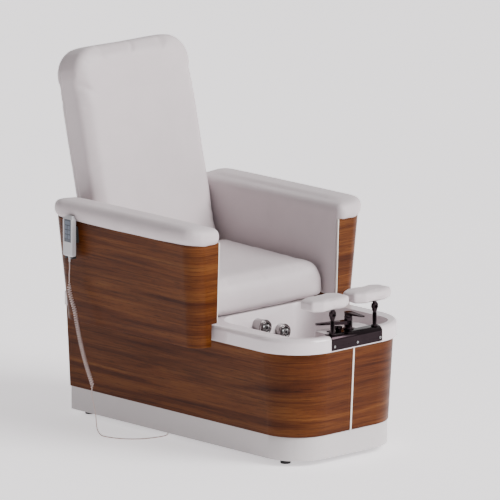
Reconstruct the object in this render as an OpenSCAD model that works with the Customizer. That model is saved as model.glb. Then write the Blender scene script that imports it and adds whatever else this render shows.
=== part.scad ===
// Pedicure spa chair: a veneered cabinet with an acrylic foot basin in front and a sliding,
// reclining armchair on the deck behind it.
// Millimetres, +Z up. The front, with the basin, faces -Y. The sitter's right is -X.

/* [Cabinet] */
// Half the width of the cabinet at its foot
cab_half = 272; // [266:1:276]
// Front of the cabinet at its foot
cab_front = -611; // [-620:1:-605]
// Rear of the cabinet
cab_rear = 591; // [585:1:600]
// Radius of the two front corners at the foot
cab_corner = 146; // [140:1:150]
// How far the veneered walls lean out between foot and top
cab_flare = 17; // [12:1:20]
// Underside of the plinth above the floor
plinth_low = 22; // [22:1:24]
// Top of the plinth
plinth_top = 108; // [104:1:108]
// Top of the veneered cabinet
cab_top = 417; // [415:1:417]
// Thickness of the bent veneer panels
ply = 16; // [14:1:16]

/* [Deck and basin] */
// Top of the acrylic deck
deck_top = 474; // [472:1:474]
// Overhang of the deck over the cabinet top
deck_lip = 14; // [12:1:16]
// Half the width of the basin's mouth
bowl_half = 238; // [234:1:238]
// Rear edge of the basin's mouth
bowl_rear = -148; // [-150:1:-148]
// Floor of the basin
bowl_floor = 305; // [302:1:306]
// Draft of the basin walls from floor to mouth
bowl_draft = 30; // [28:1:30]

/* [Armchair] */
// Half the width between the padded arm faces
seat_half = 291; // [291:1:294]
// Half the width over the arm veneer at its top
arm_half = 423; // [420:1:424]
// How far the arm veneer leans out from bottom to top
arm_flare = 33; // [28:1:34]
// Front of the arm veneer at its top
arm_front = -240; // [-245:1:-235]
// Rear of the arm veneer at its top
arm_rear = 520; // [515:1:525]
// Bottom of the arm veneer
arm_low = 398; // [396:1:400]
// Top of the arm veneer
arm_top = 778; // [776:1:778]
// Height of the padded arm tops
bolster_h = 64; // [60:1:66]
// Top of the seat cushion
seat_top = 603; // [600:1:605]
// Front of the seat cushion
seat_front = -168; // [-170:1:-160]
// Backward lean of the backrest, in degrees
back_lean = 13.2; // [12:0.1:14]
// Length of the backrest along its slope
back_long = 786; // [770:1:790]
// Thickness of the backrest
back_thick = 141; // [138:1:145]

/* [Foot rests] */
// Distance of each foot rest from the middle
rest_x = 104; // [104:1:106]
// Length of a foot pad across the chair
pad_w = 186; // [180:1:190]
// Length of a foot pad along the chair
pad_d = 106; // [100:1:110]

/* [Handset] */
// Width, thickness and height of the handset
handset = [50, 18.5, 150];
// Diameter of the handset's cord
cord_d = 4; // [4:0.5:4]
// Outer diameter of the curly stretch of the cord
curl_d = 16; // [14:1:16]

/* [Hidden] */
$fn = 64;
gap = 0.3;

// ---- derived places ----
corner_x = cab_half - cab_corner;
corner_y = cab_front + cab_corner;
deck_low = cab_top + 1;
deck_half = cab_half + cab_flare + deck_lip;
deck_corner = deck_half - corner_x;
deck_front = corner_y - deck_corner;
deck_rear = cab_rear + deck_lip;
deck_skin = 6;
deck_edge = 16;
deck_rear_corner = 34;
bowl_front = deck_front + 33;
bowl_corner = 90;
bowl_skin = 5;
bowl_h = deck_top - bowl_floor;
ledge_half = 105;
ledge_rear = -530;
ledge_h = 44;

bridge_half = 123;
bridge_t = 4;
bridge_low = 423;
bridge_front = deck_front - bridge_t;
bridge_top = deck_top + bridge_t;
screw_xs = [-112, 0, 112];

mixer_y = -598;
mixer_r = 15;
shank_r = 8;
mixer_neck = bridge_top + 18;
spout_top = mixer_neck + 14;
mixer_top = 523;
cap_top = 531;
spout_turn = 67;
spout_reach = 124;
knob_x = -49;

post_y = (deck_front + bowl_front) / 2;
tube_low = deck_low + 3;
tube_top = 526;
tube_r = 8;
stem_r = 5;
pin_z = 556;
pad_low = 568;
pad_h = 38;
pad_y = -586;

drain_y = -380;
drain_r = 26;
suction_y = -270;
jets = [[-30, 420, -201], [77, 386, -188]];
jet_r = 27;
jet_neck = 14;
barrel_r = 12;
barrel_w = 28;
barrel_in = 10;

rail_x = 205;
frame_bar = 30;
frame_low = 40;
frame_top = 65;
tray = 5;
pipe_z = 200;
waste_r = 20;
waste_x = -60;
supply_r = 10.5;
supply_x = 165;
foot_x = 205;
foot_ys = [-490, 555];

carcass_low = 492;
board = 8;
box_top = 555;
box_rear = 355;
arm_corner = 60;
front_lean = 14;
rear_lean = 19;
notch_z = deck_top + 8;
notch_x = deck_half + 19;
bolster_lap = 13;
frame_in = 311;

pivot_y = 460;
pivot_z = 560;
back_y = 364.4;
back_z = 606;
back_half = 283;
back_corner = 106;
cushion_t = 104;
arm_plate_x = 252;
ear_x = 262;
eye_r = 18;
pin_r = 6;
crank_y = 469.3;
crank_z = 525.2;
crank_pin_r = 4;
rod_r = 8;
run = 0.05;

hand_x = -436.6;
hand_y = 395;
hand_z = 650;
relief_h = 20;
cord_x = hand_x - handset[1] / 2;
key_pitch = [15, 17];
key_size = [12, 13];
key_out = 1.2;
bezel = [36, 84];
bezel_t = 5.9;
bezel_z = hand_z + 96;
key_power_z = bezel_z + 29;

gland_x = -233;
gland_y = 100;

// Points of the handset cord: down the arm, the curly stretch, and along the floor to the gland
top_route = [[cord_x, hand_y, hand_z - relief_h], [cord_x, 395, 617], [cord_x, 395, 604],
             [cord_x, 397, 580], [cord_x, 397, 567], [cord_x, 397, 555]];
coil_route = [[cord_x, 397, 555], [cord_x, 397, 543], [cord_x, 397, 531], [-447, 387, 500],
              [-445, 370, 455], [-443, 358, 400], [-440, 346, 345], [-437, 332, 295],
              [-434, 314, 245], [-430, 295, 196], [-430, 295, 184], [-430, 295, 172]];
floor_route = [[-430, 295, 172], [-430, 295, 160], [-430, 295, 148], [-427, 290, 120],
               [-424, 284, 90], [-421, 282, 60], [-420, 281, 35], [-419, 274, 16], [-418, 260, 5],
               [-416, 240, 2.2], [-407, 200, 2.2], [-385, 160, 2.2], [-350, 128, 2.2],
               [-305, 108, 2.2], [-262, 101, 2.2], [-245, 100, 3], [-236, 100, 7],
               [gland_x, gland_y, 13], [gland_x, gland_y, 16], [gland_x, gland_y, 19]];

// ---- helpers ----
// Outline with rounded front and rear corners, seen from above
module plan(half, front, rear, r_front, r_rear) {
    translate([-half, front + r_front])
        square([2 * half, rear - front - r_front - r_rear]);
    translate([-half + r_front, front])
        square([2 * (half - r_front), r_front]);
    translate([-half + r_rear, rear - r_rear])
        square([2 * (half - r_rear), r_rear]);
    for (s = [-1, 1]) {
        translate([s * (half - r_front), front + r_front])
            circle(r_front);
        translate([s * (half - r_rear), rear - r_rear])
            circle(r_rear);
    }
}

// Polygon in the Y-Z plane, drawn out along X from x_from
module along_x(x_from, length) {
    translate([x_from, 0, 0])
        rotate([90, 0, 90])
            linear_extrude(length)
                children();
}

// Polygon in the X-Z plane, drawn out along Y from y_from
module along_y(y_from, length) {
    translate([0, y_from + length, 0])
        rotate([90, 0, 0])
            linear_extrude(length)
                children();
}

// Block whose sides and front lean out by flare from z_low to z_high, with round front corners
module leaning_block(half, front, rear, corner, flare, z_low, z_high) {
    rise = z_high - z_low;
    along_y(front + corner, rear - front - corner)
        polygon([[-half, z_low], [half, z_low], [half + flare, z_high], [-half - flare, z_high]]);
    along_x(corner - half, 2 * (half - corner))
        polygon([[front, z_low], [front + corner, z_low], [front + corner, z_high],
                 [front - flare, z_high]]);
    for (s = [-1, 1])
        translate([s * (half - corner), front + corner, z_low])
            cylinder(r1 = corner, r2 = corner + flare, h = rise);
}

// Cabinet volume inside a wall of the given thickness, longer than the wall at both ends
module cabinet_block(inset, over) {
    slope = cab_flare / (cab_top - plinth_top - 1);
    leaning_block(cab_half - inset - over * slope, cab_front + inset + over * slope,
                  cab_rear + (inset > 0 ? 1 : 0), cab_corner - inset - over * slope,
                  cab_flare + 2 * over * slope, plinth_top + 1 - over, cab_top + over);
}

// Basin volume: four round corners and four drafted walls, grown by skin and carried up by over
module bowl_block(skin, over) {
    slope = bowl_draft / bowl_h;
    top = deck_top + over;
    low = bowl_floor - skin;
    half = bowl_half + over * slope + skin;
    front = bowl_front - over * slope - skin;
    rear = bowl_rear + over * slope + skin;
    corner = bowl_corner + over * slope + skin;
    in = (top - low) * slope;
    along_y(front + corner, rear - front - 2 * corner)
        polygon([[in - half, low], [half - in, low], [half, top], [-half, top]]);
    along_x(corner - half, 2 * (half - corner))
        polygon([[front + in, low], [rear - in, low], [rear, top], [front, top]]);
    for (s = [-1, 1], y = [front + corner, rear - corner])
        translate([s * (half - corner), y, low])
            cylinder(r1 = corner - in, r2 = corner, h = top - low);
}

// Slab with round corners and a rolled upper edge
module rolled_slab(half, front, rear, r_front, r_rear, low, high, edge) {
    module profile(reach) {
        square([reach - edge, high - low]);
        square([reach, high - low - edge]);
        translate([reach - edge, high - low - edge])
            circle(edge);
    }
    translate([0, 0, low]) {
        for (s = [-1, 1]) {
            translate([s * (half - r_front), front + r_front, 0])
                rotate_extrude()
                    profile(r_front);
            translate([s * (half - r_rear), rear - r_rear, 0])
                rotate_extrude()
                    profile(r_rear);
            translate([0, front + r_front, 0])
                mirror([s > 0 ? 0 : 1, 0, 0])
                    translate([0, rear - front - r_front - r_rear, 0])
                        rotate([90, 0, 0])
                            linear_extrude(rear - front - r_front - r_rear)
                                profile(half);
        }
        translate([r_front - half, front + r_front, 0])
            rotate([90, 0, 90])
                linear_extrude(2 * (half - r_front))
                    mirror([1, 0])
                        profile(r_front);
        translate([r_rear - half, rear - r_rear, 0])
            rotate([90, 0, 90])
                linear_extrude(2 * (half - r_rear))
                    profile(r_rear);
    }
}

// Cylinder along X or Y, centred on the point
module rod_x(r, length, at) {
    translate(at)
        rotate([0, 90, 0])
            cylinder(r = r, h = length, center = true);
}

module rod_y(r, y_from, y_to, x, z) {
    translate([x, y_to, z])
        rotate([90, 0, 0])
            cylinder(r = r, h = y_to - y_from);
}

// Places its children in the backrest's own frame: Z along the slope, Y through the thickness
module on_back() {
    translate([0, back_y, back_z])
        rotate([-back_lean, 0, 0])
            children();
}

// One arm drawn for the sitter's left, mirrored for the right
module arm_side(side) {
    mirror([side > 0 ? 0 : 1, 0, 0])
        children();
}

// ---- swept tube for the cord's straight stretches ----
function unit(v) = v / norm(v);
function tangent(route, i) =
    unit(route[min(i + 1, len(route) - 1)] - route[max(i - 1, 0)]);
function side_of(t) = unit(cross(t, abs(t[0]) > 0.9 ? [0, 1, 0] : [1, 0, 0]));
function carried(route, i) =
    i == 0 ? side_of(tangent(route, 0))
           : let (t = tangent(route, i), last = carried(route, i - 1)) unit(last - t * (last * t));
function ring(route, i, r, sides) =
    let (t = tangent(route, i), u = carried(route, i), v = cross(t, u))
    [for (k = [0:sides - 1]) route[i] + r * (cos(360 * k / sides) * u + sin(360 * k / sides) * v)];
// Catmull-Rom points between the hand-chosen ones, keeping both ends
function eased(route, steps) =
    [for (i = [0:len(route) - 2], k = [0:steps - 1])
        let (a = route[max(i - 1, 0)], b = route[i], c = route[i + 1],
             d = route[min(i + 2, len(route) - 1)], t = k / steps)
        0.5 * (2 * b + (c - a) * t + (2 * a - 5 * b + 4 * c - d) * t * t
               + (3 * b - a - 3 * c + d) * t * t * t),
     route[len(route) - 1]];

module tube(route, d, sides) {
    count = len(route);
    points = [for (i = [0:count - 1]) each ring(route, i, d / 2, sides)];
    walls = [for (i = [0:count - 2], k = [0:sides - 1])
        [i * sides + k, i * sides + (k + 1) % sides,
         (i + 1) * sides + (k + 1) % sides, (i + 1) * sides + k]];
    near_end = [for (k = [sides - 1:-1:0]) k];
    far_end = [for (k = [0:sides - 1]) (count - 1) * sides + k];
    polyhedron(points, concat([near_end], walls, [far_end]), convexity = 8);
}

// ---- cabinet ----
module plinth() {
    color("gainsboro") {
        difference() {
            translate([0, 0, plinth_low])
                linear_extrude(plinth_top - plinth_low)
                    plan(cab_half - 4, cab_front + 4, cab_rear - 2, cab_corner - 4, 2);
            translate([0, 0, plinth_low - 1])
                linear_extrude(plinth_top - plinth_low + 2)
                    plan(cab_half - 4 - ply, cab_front + 4 + ply, cab_rear - 2 - ply,
                         cab_corner - 4 - ply, 2);
        }
        // Tab inside the side wall that carries the cord gland
        difference() {
            translate([-cab_half + 4 + ply - 1, gland_y - 20, plinth_low])
                cube([34, 40, 5]);
            translate([gland_x, gland_y, plinth_low - 1])
                cylinder(r = 6.1, h = 7);
        }
    }
}

module base_frame() {
    bar = frame_bar;
    upright_ys = [-40, 540];
    color("dimgray") {
        for (s = [-1, 1]) {
            translate([s * rail_x - bar / 2, -505, frame_low])
                cube([bar, 1075, frame_top - frame_low]);
            for (y = upright_ys)
                translate([s * rail_x - bar / 2, y, frame_low])
                    cube([bar, bar, deck_top - deck_skin - frame_low]);
            translate([s * rail_x - bar / 2, -505, frame_low])
                cube([bar, bar, bowl_floor - bowl_skin - frame_low]);
        }
        for (y = [-505, -40, 540])
            translate([-rail_x, y, frame_low])
                cube([2 * rail_x, bar, frame_top - frame_low]);
        // Tray under the pump and the control box
        translate([-rail_x, -40, frame_top])
            cube([2 * rail_x, 610, tray]);
        for (y = upright_ys)
            translate([-rail_x, y, deck_top - deck_skin - bar])
                cube([2 * rail_x, bar, bar]);
    }
}

module levelling_feet() {
    color("black")
        for (s = [-1, 1], y = foot_ys)
            translate([s * foot_x, y, 0]) {
                cylinder(r = 19, h = 9);
                translate([0, 0, 9])
                    cylinder(r1 = 19, r2 = 12, h = 6);
                cylinder(r = 6, h = frame_low);
            }
}

module cabinet_wall() {
    difference() {
        cabinet_block(0, 0);
        cabinet_block(ply, 1);
    }
}

module cabinet_side(side) {
    color("sienna")
        intersection() {
            cabinet_wall();
            translate([side > 0 ? 3.5 : -500, cab_front - 100, 0])
                cube([496.5, 1500, 600]);
        }
}

module rear_access_panel() {
    low = plinth_top + 1;
    half_low = cab_half - ply - 1;
    color("sienna")
        difference() {
            along_y(cab_rear - 14, 12)
                polygon([[-half_low, low], [half_low, low],
                         [half_low + cab_flare, cab_top], [-half_low - cab_flare, cab_top]]);
            rod_y(waste_r + 0.3, cab_rear - 20, cab_rear, waste_x, pipe_z);
            for (x = [-supply_x, supply_x])
                rod_y(supply_r + 0.3, cab_rear - 20, cab_rear, x, pipe_z);
        }
}

module front_trim_strip() {
    low = plinth_top + 1;
    proud = 1.5;
    color("ghostwhite")
        along_x(-3.3, 6.6)
            polygon([[cab_front - proud, low], [cab_front + ply, low],
                     [cab_front + ply - cab_flare, cab_top],
                     [cab_front - proud - cab_flare, cab_top]]);
}

// ---- acrylic deck with its basin ----
module basin_deck() {
    under = deck_top - deck_skin;
    wall = 8;
    color("white")
        difference() {
            union() {
                difference() {
                    rolled_slab(deck_half, deck_front, deck_rear, deck_corner, deck_rear_corner,
                                deck_low, deck_top, deck_edge);
                    translate([0, 0, deck_low - 1])
                        linear_extrude(under - deck_low + 1)
                            plan(deck_half - wall, deck_front + wall, deck_rear - wall,
                                 deck_corner - wall, deck_rear_corner - wall);
                }
                intersection() {
                    bowl_block(bowl_skin, 0);
                    translate([-400, -700, 0])
                        cube([800, 800, deck_top - 1]);
                }
                fixture_ledge();
            }
            difference() {
                bowl_block(0, 1);
                fixture_ledge();
            }
            translate([0, drain_y, bowl_floor - 10])
                cylinder(r = drain_r - 5.9, h = 12);
            translate([0, suction_y, bowl_floor - 10])
                cylinder(r = 15, h = 12);
            for (j = jets)
                rod_y(jet_neck + 0.1, bowl_rear - 60, bowl_rear + 20, j[0], j[1]);
            for (x = [0, knob_x])
                translate([x, mixer_y, deck_top - ledge_h - 1])
                    cylinder(r = shank_r + 0.1, h = ledge_h + 2);
            for (s = [-1, 1])
                translate([s * rest_x, post_y, under - 1])
                    cylinder(r = tube_r + 0.1, h = deck_skin + 2);
        }
}

// Raised shelf at the front of the basin that carries the mixer
module fixture_ledge() {
    translate([0, 0, deck_top - ledge_h])
        linear_extrude(ledge_h)
            plan(ledge_half, bowl_front - 8, ledge_rear, 2, 14);
}

module drain_fitting() {
    color("silver")
        translate([0, drain_y, 0])
            difference() {
                union() {
                    translate([0, 0, bowl_floor])
                        cylinder(r = drain_r + 4, h = 3);
                    translate([0, 0, bowl_floor - 75])
                        cylinder(r = drain_r - 6, h = 76);
                }
                translate([0, 0, bowl_floor - 76])
                    cylinder(r = drain_r - 9, h = 90);
            }
}

module drain_plug() {
    color("silver")
        translate([0, drain_y, 0]) {
            translate([0, 0, bowl_floor + 3 + gap])
                cylinder(r1 = drain_r - 2, r2 = drain_r - 8, h = 5);
            translate([0, 0, bowl_floor - 30])
                cylinder(r = 4, h = 34);
        }
}

module suction_cover() {
    slots = 12;
    color("silver")
        translate([0, suction_y, bowl_floor])
            difference() {
                cylinder(r1 = 42, r2 = 36, h = 8);
                translate([0, 0, -1])
                    cylinder(r = 15, h = 6);
                for (k = [0:slots - 1])
                    rotate([0, 0, 360 * k / slots])
                        translate([19, -1.5, -1])
                            cube([12, 3, 10]);
            }
}

// Everything behind the basin's rear wall, as far as the jets reach
module behind_bowl() {
    along_x(-150, 300)
        polygon([[bowl_rear, deck_top], [bowl_rear - bowl_draft, bowl_floor], [0, bowl_floor],
                 [0, deck_top]]);
}

module jet_bodies() {
    color("dimgray")
        for (j = jets)
            difference() {
                union() {
                    difference() {
                        union() {
                            rod_y(jet_r, j[2], bowl_rear, j[0], j[1]);
                            rod_y(jet_r + 2, j[2] + 4, j[2] + 9, j[0], j[1]);
                        }
                        behind_bowl();
                    }
                    rod_y(jet_neck, j[2] + 20, bowl_rear + 40, j[0], j[1]);
                }
                rod_y(jet_r - 5, j[2] - 1, j[2] + 7, j[0], j[1]);
                rod_x(barrel_r + run, barrel_w + 2 * gap, [j[0], j[2] + barrel_in, j[1]]);
                rod_y(8, j[2] + barrel_in, bowl_rear + 41, j[0], j[1]);
            }
}

// Nozzle of a jet: a barrel lying across the cup, with its snout and bore
module jet_nozzle(j) {
    snout_r = 9;
    color("gray")
        difference() {
            union() {
                intersection() {
                    rod_x(barrel_r, barrel_w, [j[0], j[2] + barrel_in, j[1]]);
                    translate([j[0] - barrel_w, j[2] - 2, j[1] - barrel_w])
                        cube(2 * barrel_w);
                }
                rod_y(snout_r, j[2] - 5, j[2] + barrel_in, j[0], j[1]);
            }
            rod_y(5, j[2] - 10, j[2] + 40, j[0], j[1]);
        }
}

// ---- fittings on the front of the deck ----
module fixture_bridge() {
    tongue = [112, 37];
    color([0.24, 0.2, 0.22])
        difference() {
            union() {
                along_x(-bridge_half, 2 * bridge_half) {
                    translate([bridge_front, bridge_low])
                        square([bridge_t - gap, deck_top - deck_edge - bridge_low]);
                    translate([deck_front + deck_edge, deck_top + gap])
                        square([bowl_front - deck_front - deck_edge + 2, bridge_t - gap]);
                    intersection() {
                        translate([bridge_front, deck_top - deck_edge])
                            square(deck_edge + bridge_t);
                        translate([deck_front + deck_edge, deck_top - deck_edge])
                            difference() {
                                circle(deck_edge + bridge_t);
                                circle(deck_edge + gap);
                            }
                    }
                }
                translate([-82, bowl_front, deck_top + gap])
                    cube([tongue[0], tongue[1], bridge_t - gap]);
            }
            for (x = screw_xs)
                rod_y(2.6, bridge_front - 1, deck_front + 1, x, bridge_low + 14);
            for (x = [0, knob_x])
                translate([x, mixer_y, deck_top])
                    cylinder(r = shank_r + 0.1, h = 10);
            for (s = [-1, 1])
                translate([s * rest_x, post_y, deck_top - deck_edge])
                    cylinder(r = tube_r + 0.1, h = 30);
        }
}

module bridge_screws() {
    color("silver")
        for (x = screw_xs) {
            rod_y(2.5, bridge_front, deck_front - gap, x, bridge_low + 14);
            rod_y(4.5, bridge_front - 2, bridge_front, x, bridge_low + 14);
        }
}

module mixer_body() {
    color([0.24, 0.2, 0.22])
        translate([0, mixer_y, 0])
            difference() {
                union() {
                    translate([0, 0, bridge_top])
                        cylinder(r = mixer_r + 5, h = 3);
                    translate([0, 0, bridge_top])
                        cylinder(r = mixer_r, h = mixer_neck - bridge_top);
                    translate([0, 0, bridge_top])
                        cylinder(r = mixer_r - 4, h = spout_top - bridge_top + 1);
                    translate([0, 0, spout_top + gap])
                        cylinder(r = mixer_r, h = mixer_top - spout_top - gap);
                    translate([0, 0, deck_top - ledge_h + 1])
                        cylinder(r = shank_r, h = ledge_h + 9);
                }
                translate([0, 0, mixer_top - 8])
                    cylinder(r = 8.05, h = 9);
            }
}

module spout() {
    color([0.24, 0.2, 0.22])
        translate([0, mixer_y, 0])
            difference() {
                union() {
                    translate([0, 0, mixer_neck + gap])
                        cylinder(r = mixer_r, h = spout_top - mixer_neck - 2 * gap);
                    rotate([0, 0, spout_turn])
                        intersection() {
                            translate([0, 0, mixer_neck + gap])
                                linear_extrude(spout_top - mixer_neck - 2 * gap)
                                    polygon([[-13, 0], [13, 0], [7, spout_reach], [-7, spout_reach]]);
                            along_x(-20, 40)
                                polygon([[0, mixer_neck], [0, spout_top], [spout_reach, mixer_neck + 10],
                                         [spout_reach, mixer_neck + 4]]);
                        }
                }
                translate([0, 0, mixer_neck - 1])
                    cylinder(r = mixer_r - 4 + run, h = 30);
            }
}

module mixer_cap() {
    color([0.24, 0.2, 0.22])
        translate([0, mixer_y, 0])
            difference() {
                union() {
                    translate([0, 0, mixer_top + gap])
                        cylinder(r = mixer_r - 1, h = cap_top - mixer_top - gap);
                    translate([0, 0, mixer_top - 7])
                        cylinder(r = 8, h = 8);
                }
                translate([-4.2, -20, cap_top - 6])
                    cube([8.4, 30, 7]);
                rod_x(2 + run, 40, [0, 0, cap_top - 3]);
            }
}

module mixer_lever() {
    color([0.24, 0.2, 0.22])
        translate([0, mixer_y, 0]) {
            along_x(-3.9, 7.8)
                polygon([[-15.5, cap_top - 0.5], [-2, cap_top - 5], [3, cap_top - 5],
                         [6, cap_top + 1], [-15.5, cap_top + 1]]);
            rod_x(2, 26, [0, 0, cap_top - 3]);
            intersection() {
                along_x(-20, 40)
                    polygon([[15, cap_top + 8], [15, cap_top + 9], [4, cap_top + 10],
                             [-80, cap_top + 6], [-82, cap_top + 3], [-22, cap_top + 0.6],
                             [-1, cap_top + 0.6]]);
                translate([0, 0, cap_top])
                    linear_extrude(20)
                        union() {
                            circle(mixer_r);
                            polygon([[-mixer_r, 0], [mixer_r, 0], [8, -74], [-8, -74]]);
                            translate([0, -74])
                                circle(8);
                        }
            }
        }
}

module diverter_knob() {
    flats = 6;
    color([0.24, 0.2, 0.22])
        translate([knob_x, mixer_y, 0])
            difference() {
                union() {
                    translate([0, 0, bridge_top + gap])
                        cylinder(r = 10, h = 4);
                    translate([0, 0, bridge_top + 4])
                        cylinder(r1 = 12, r2 = 15, h = 12);
                    translate([0, 0, deck_top - ledge_h])
                        cylinder(r = shank_r, h = ledge_h + 6);
                }
                for (k = [0:flats - 1])
                    rotate([0, 0, 360 * k / flats])
                        translate([18, 0, bridge_top + 5])
                            cylinder(r = 5, h = 15);
            }
}

// ---- foot rests ----
module footrest_tubes() {
    color([0.24, 0.2, 0.22])
        for (s = [-1, 1])
            translate([s * rest_x, post_y, 0])
                difference() {
                    union() {
                        translate([0, 0, bridge_top])
                            cylinder(r = 13, h = 4);
                        translate([0, 0, tube_low])
                            cylinder(r = tube_r, h = tube_top - tube_low);
                    }
                    translate([0, 0, tube_low + 2])
                        cylinder(r = stem_r + run, h = tube_top);
                }
}

module footrest_stem(side) {
    ear = 5;
    color([0.24, 0.2, 0.22])
        translate([side * rest_x, post_y, 0]) {
            translate([0, 0, tube_low + 4])
                cylinder(r = stem_r, h = pin_z - 14 - tube_low - 4);
            translate([0, 0, tube_top + 2])
                cylinder(r1 = 7, r2 = 12, h = pin_z - 11 - tube_top - 2);
            for (x = [-1, 1])
                hull() {
                    rod_x(6, ear, [x * 9, 0, pin_z]);
                    translate([x * 9 - ear / 2, -7, pin_z - 12])
                        cube([ear, 14, 1]);
                }
            rod_x(3, 26, [0, 0, pin_z]);
        }
}

module pad_bracket(side) {
    color([0.24, 0.2, 0.22])
        translate([side * rest_x, post_y, 0])
            difference() {
                union() {
                    rod_x(6, 12, [0, 0, pin_z]);
                    translate([-6, -6, pin_z])
                        cube([12, 12, pad_low - pin_z - 1]);
                    translate([-35, pad_y - post_y - 35, pad_low - 3])
                        cube([70, 70, 3]);
                }
                rod_x(3 + run, 20, [0, 0, pin_z]);
            }
}

module foot_pad(side) {
    cut = [46, 30];
    a = pad_w / 2;
    b = pad_d / 2;
    color("whitesmoke")
        translate([side * rest_x, pad_y, pad_low])
            linear_extrude(pad_h)
                polygon([[cut[0] - a, -b], [a - cut[0], -b], [a, cut[1] - b], [a, b - cut[1]],
                         [a - cut[0], b], [cut[0] - a, b], [-a, b - cut[1]], [-a, cut[1] - b]]);
}

// ---- services inside the cabinet ----
module circulation_pump() {
    color("darkslategray") {
        rod_y(46, 80, 230, 60, 140);
        rod_y(60, 40, 80, 60, 140);
        rod_y(18, 0, 40, 60, 140);
        translate([60, 60, 180])
            cylinder(r = 14, h = 57.7);
        for (y = [95, 195])
            translate([20, y, frame_top + tray])
                cube([80, 20, 35]);
    }
}

module water_pipes() {
    suction_z = 140;
    color("lightgray") {
        rod_y(14, suction_y - 14, -0.2, 60, suction_z);
        translate([60, suction_y, suction_z])
            rotate([0, -90, 0])
                cylinder(r = 14, h = 60);
        translate([0, suction_y, suction_z - 14])
            cylinder(r = 14, h = bowl_floor - bowl_skin - suction_z + 14);
        // Jet manifold behind the basin
        rod_x(12, 220, [0, -70, 250]);
        rod_y(12, -70, 72, 60, 250);
        for (j = jets) {
            translate([j[0], -70, 250])
                cylinder(r = 10, h = j[1] - 250);
            rod_y(10, bowl_rear + 40.3, -60, j[0], j[1]);
        }
        // Waste pipe and the two supply inlets, through the rear panel
        translate([0, drain_y, pipe_z])
            cylinder(r = waste_r, h = bowl_floor - 75.3 - pipe_z);
        rod_y(waste_r, drain_y, cab_rear + 26, waste_x, pipe_z);
        rod_x(waste_r, -waste_x, [waste_x / 2, drain_y, pipe_z]);
        for (x = [-supply_x, supply_x])
            rod_y(supply_r, 460, cab_rear + 16, x, pipe_z);
    }
}

module control_box() {
    color("darkgray")
        translate([-130, 320, frame_top + tray])
            cube([90, 140, 90]);
}

module power_inlet() {
    color("black")
        difference() {
            translate([120, cab_rear - 2, 300])
                cube([48, 3, 60]);
            translate([132, cab_rear - 1, 312])
                cube([24, 3, 36]);
        }
}

module cord_gland() {
    color("black")
        difference() {
            translate([gland_x, gland_y, 0]) {
                translate([0, 0, plinth_low - 3])
                    cylinder(r = 9, h = 3);
                translate([0, 0, plinth_low])
                    cylinder(r = 6, h = 16);
            }
            translate([gland_x, gland_y, plinth_low + 2])
                cylinder(r = 2.2, h = 20);
        }
}

// ---- sliding seat ----
module slide_rails() {
    color("silver")
        for (s = [-1, 1])
            translate([s * 212 - 12, -55, deck_top])
                cube([24, 495, 14]);
}

module seat_carcass() {
    box_half = 285;
    wall = 12;
    color("burlywood") {
        // Base board on its runners
        translate([-360, -130, carcass_low])
            cube([720, 610, board]);
        for (s = [-1, 1])
            translate([s * 212 - 16, -80, deck_top + 14 + gap])
                cube([32, 470, carcass_low - deck_top - 14]);
        // Seat box, open at the rear
        for (s = [-1, 1])
            translate([s * (box_half - wall / 2) - wall / 2, -130, carcass_low])
                cube([wall, box_rear + 130, box_top - carcass_low]);
        translate([-box_half, -130, carcass_low])
            cube([2 * box_half, wall, box_top - carcass_low]);
        translate([-box_half, -130, box_top - board])
            cube([2 * box_half, box_rear + 130, board]);
        // Arm frames
        for (s = [-1, 1])
            arm_side(s) {
                for (z = [carcass_low, arm_top - 40])
                    translate([frame_in, -120, z])
                        cube([38, 600, 40]);
                for (y = [-120, 170, 440])
                    translate([frame_in, y, carcass_low])
                        cube([38, 40, arm_top - carcass_low]);
            }
        hinge_ears();
    }
}

// Two steel ears on the base board that carry the backrest's hinge pins
module hinge_ears() {
    for (s = [-1, 1])
        arm_side(s)
            difference() {
                union() {
                    rod_x(eye_r, 8, [ear_x + 4, pivot_y, pivot_z]);
                    along_x(ear_x, 8)
                        polygon([[430, carcass_low], [478, carcass_low],
                                 [pivot_y + eye_r - 1, pivot_z], [pivot_y - eye_r + 1, pivot_z]]);
                }
                rod_x(pin_r + run, 20, [ear_x + 4, pivot_y, pivot_z]);
            }
}

module seat_cushion() {
    half = seat_half - 4;
    apron = carcass_low - 13;
    roll = 60;
    color("linen")
        intersection() {
            along_x(-half, 2 * half)
                union() {
                    translate([seat_front + roll, box_top + gap])
                        square([358 - seat_front - roll, seat_top - box_top - gap]);
                    translate([seat_front, apron])
                        square([-132 - seat_front, seat_top - roll - apron]);
                    intersection() {
                        translate([seat_front + roll, seat_top - roll])
                            circle(roll);
                        translate([seat_front, box_top + gap])
                            square([200, 100]);
                    }
                    intersection() {
                        translate([seat_front + roll, seat_top - roll])
                            circle(roll);
                        translate([seat_front, seat_top - roll])
                            square([-132 - seat_front, 100]);
                    }
                }
            translate([0, 0, 400])
                linear_extrude(300)
                    plan(half, seat_front, 358, 50, 10);
        }
}

// Outline of one arm, seen from above: only its two outer corners are round
module arm_plan(outer, front, rear, inner, corner) {
    intersection() {
        translate([inner, front])
            square([outer - inner, rear - front]);
        union() {
            translate([0, front])
                square([outer - corner, rear - front]);
            translate([0, front + corner])
                square([outer, rear - front - 2 * corner]);
            for (y = [front + corner, rear - corner])
                translate([outer - corner, y])
                    circle(corner);
        }
    }
}

module arm_body(inset, inner, z_low, z_high) {
    hull() {
        translate([0, 0, z_high - 1])
            linear_extrude(1)
                arm_plan(arm_half - inset, arm_front + inset, arm_rear - inset, inner,
                         arm_corner - inset);
        translate([0, 0, z_low])
            linear_extrude(1)
                arm_plan(arm_half - arm_flare - inset, arm_front + front_lean + inset,
                         arm_rear - rear_lean - inset, inner, arm_corner - inset);
    }
}

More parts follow.
